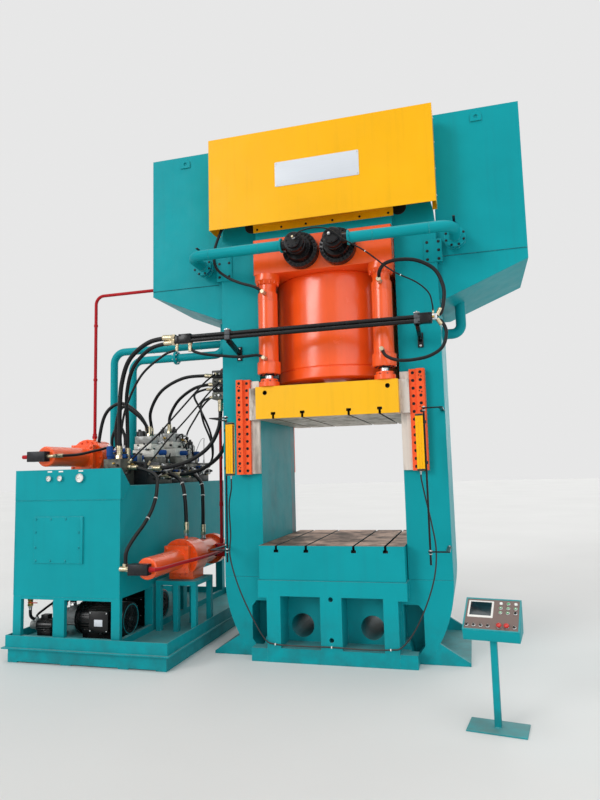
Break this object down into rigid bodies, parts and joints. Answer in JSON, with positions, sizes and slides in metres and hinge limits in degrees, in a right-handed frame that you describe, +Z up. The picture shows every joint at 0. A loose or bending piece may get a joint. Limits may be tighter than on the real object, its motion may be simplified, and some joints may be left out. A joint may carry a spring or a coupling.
{
  "type": "hydraulic press",
  "caption": "Window-frame hydraulic press with slide, guides, main and return cylinders, side oil tanks, power unit and operator's console.",
  "frame": {"origin": "on the floor, in the middle of the press frame's underside", "axes": "+Z up, the front of the press faces -Y, the power unit stands towards -X"},
  "size_m": [5.686, 3.9181, 5.838],
  "materials": {
    "teal_paint": "semi-gloss enamel",
    "orange_paint": "gloss enamel",
    "yellow_paint": "gloss enamel",
    "bare_steel": "ground",
    "hard_chrome": "polished",
    "black_paint": "satin",
    "blue_paint": "satin",
    "black_rubber": "smooth hose cover",
    "grey_paint": "satin",
    "grey_plastic": "moulded",
    "green_plastic": "moulded",
    "red_plastic": "moulded"
  },
  "bodies": {
    "press": {"bolster": "teal_paint", "butterfly_valve_left": "blue_paint", "butterfly_valve_right": "blue_paint", "console": "teal_paint", "curtain_cable": "black_rubber", "curtain_stand_left": "black_paint", "curtain_stand_right": "black_paint", "drain_pipe_right": "teal_paint", "front_rails": "black_paint", "guide_bracket_front_left": "orange_paint", "guide_bracket_front_right": "orange_paint", "guide_bracket_rear_left": "orange_paint", "guide_bracket_rear_right": "orange_paint", "guide_gib_front_left": "bare_steel", "guide_gib_front_right": "bare_steel", "head_block": "orange_paint", "hose_manifold": "black_rubber", "intensifier_lower": "orange_paint", "intensifier_upper": "orange_paint", "light_curtain_left": "yellow_paint", "light_curtain_right": "yellow_paint", "lower_crosshead": "teal_paint", "main_cylinder": "orange_paint", "oil_tank_left": "teal_paint", "oil_tank_right": "teal_paint", "pilot_hose": "black_rubber", "prefill_pipe_left": "teal_paint", "prefill_pipe_right": "teal_paint", "prefill_valve_left": "black_paint", "prefill_valve_right": "black_paint", "pump_motor_front": "black_paint", "pump_motor_rear": "black_paint", "rail_hoses": "black_rubber", "return_cylinder_left": "orange_paint", "return_cylinder_right": "orange_paint", "return_hose_left_lower": "black_rubber", "return_hose_left_upper": "black_rubber", "return_hoses_right": "black_rubber", "top_cover": "yellow_paint", "transfer_pipe_lower": "teal_paint", "transfer_pipe_upper": "teal_paint", "unit_base": "teal_paint", "unit_tank": "teal_paint", "upper_crosshead": "teal_paint", "upright_left": "teal_paint", "upright_right": "teal_paint", "valve_manifold": "grey_paint"},
    "slide_group": {"slide": "yellow_paint", "ram": "hard_chrome", "return_rod_left": "hard_chrome", "return_rod_right": "hard_chrome"},
    "lever_left": {"butterfly_lever_left": "black_paint"},
    "lever_right": {"butterfly_lever_right": "black_paint"},
    "button_1": {"push_button_1": "grey_plastic"},
    "button_2": {"push_button_2": "green_plastic"},
    "button_3": {"push_button_3": "green_plastic"},
    "button_4": {"push_button_4": "green_plastic"},
    "button_5": {"push_button_5": "green_plastic"},
    "stop_left": {"emergency_stop_left": "red_plastic"},
    "stop_right": {"emergency_stop_right": "red_plastic"}
  },
  "joints": [
    {"name": "slide_stroke", "type": "slide", "parent": "press", "child": "slide_group", "axis": [0, 0, 1], "range_m": [-0.55, 0]},
    {"name": "butterfly_lever_left_turn", "type": "hinge", "parent": "press", "child": "lever_left", "pos_m": [-1.43, -0.7402, 4.5203], "axis": [0, 0, 1], "range_deg": [-90, 0]},
    {"name": "butterfly_lever_right_turn", "type": "hinge", "parent": "press", "child": "lever_right", "pos_m": [1.43, -0.7402, 4.5203], "axis": [0, 0, 1], "range_deg": [0, 90]},
    {"name": "push_button_1_press", "type": "slide", "parent": "press", "child": "button_1", "axis": [0.0846, 0.5341, -0.8412], "range_m": [0, 0.003], "stiffness_N_per_m": 200, "springref_m": -0.002},
    {"name": "push_button_2_press", "type": "slide", "parent": "press", "child": "button_2", "axis": [0.0846, 0.5341, -0.8412], "range_m": [0, 0.003], "stiffness_N_per_m": 200, "springref_m": -0.002},
    {"name": "push_button_3_press", "type": "slide", "parent": "press", "child": "button_3", "axis": [0.0846, 0.5341, -0.8412], "range_m": [0, 0.003], "stiffness_N_per_m": 200, "springref_m": -0.002},
    {"name": "push_button_4_press", "type": "slide", "parent": "press", "child": "button_4", "axis": [0.0846, 0.5341, -0.8412], "range_m": [0, 0.003], "stiffness_N_per_m": 200, "springref_m": -0.002},
    {"name": "push_button_5_press", "type": "slide", "parent": "press", "child": "button_5", "axis": [0.0846, 0.5341, -0.8412], "range_m": [0, 0.003], "stiffness_N_per_m": 200, "springref_m": -0.002},
    {"name": "emergency_stop_left_press", "type": "slide", "parent": "press", "child": "stop_left", "axis": [0.0846, 0.5341, -0.8412], "range_m": [0, 0.005]},
    {"name": "emergency_stop_right_press", "type": "slide", "parent": "press", "child": "stop_right", "axis": [0.0846, 0.5341, -0.8412], "range_m": [0, 0.005]}
  ]
}
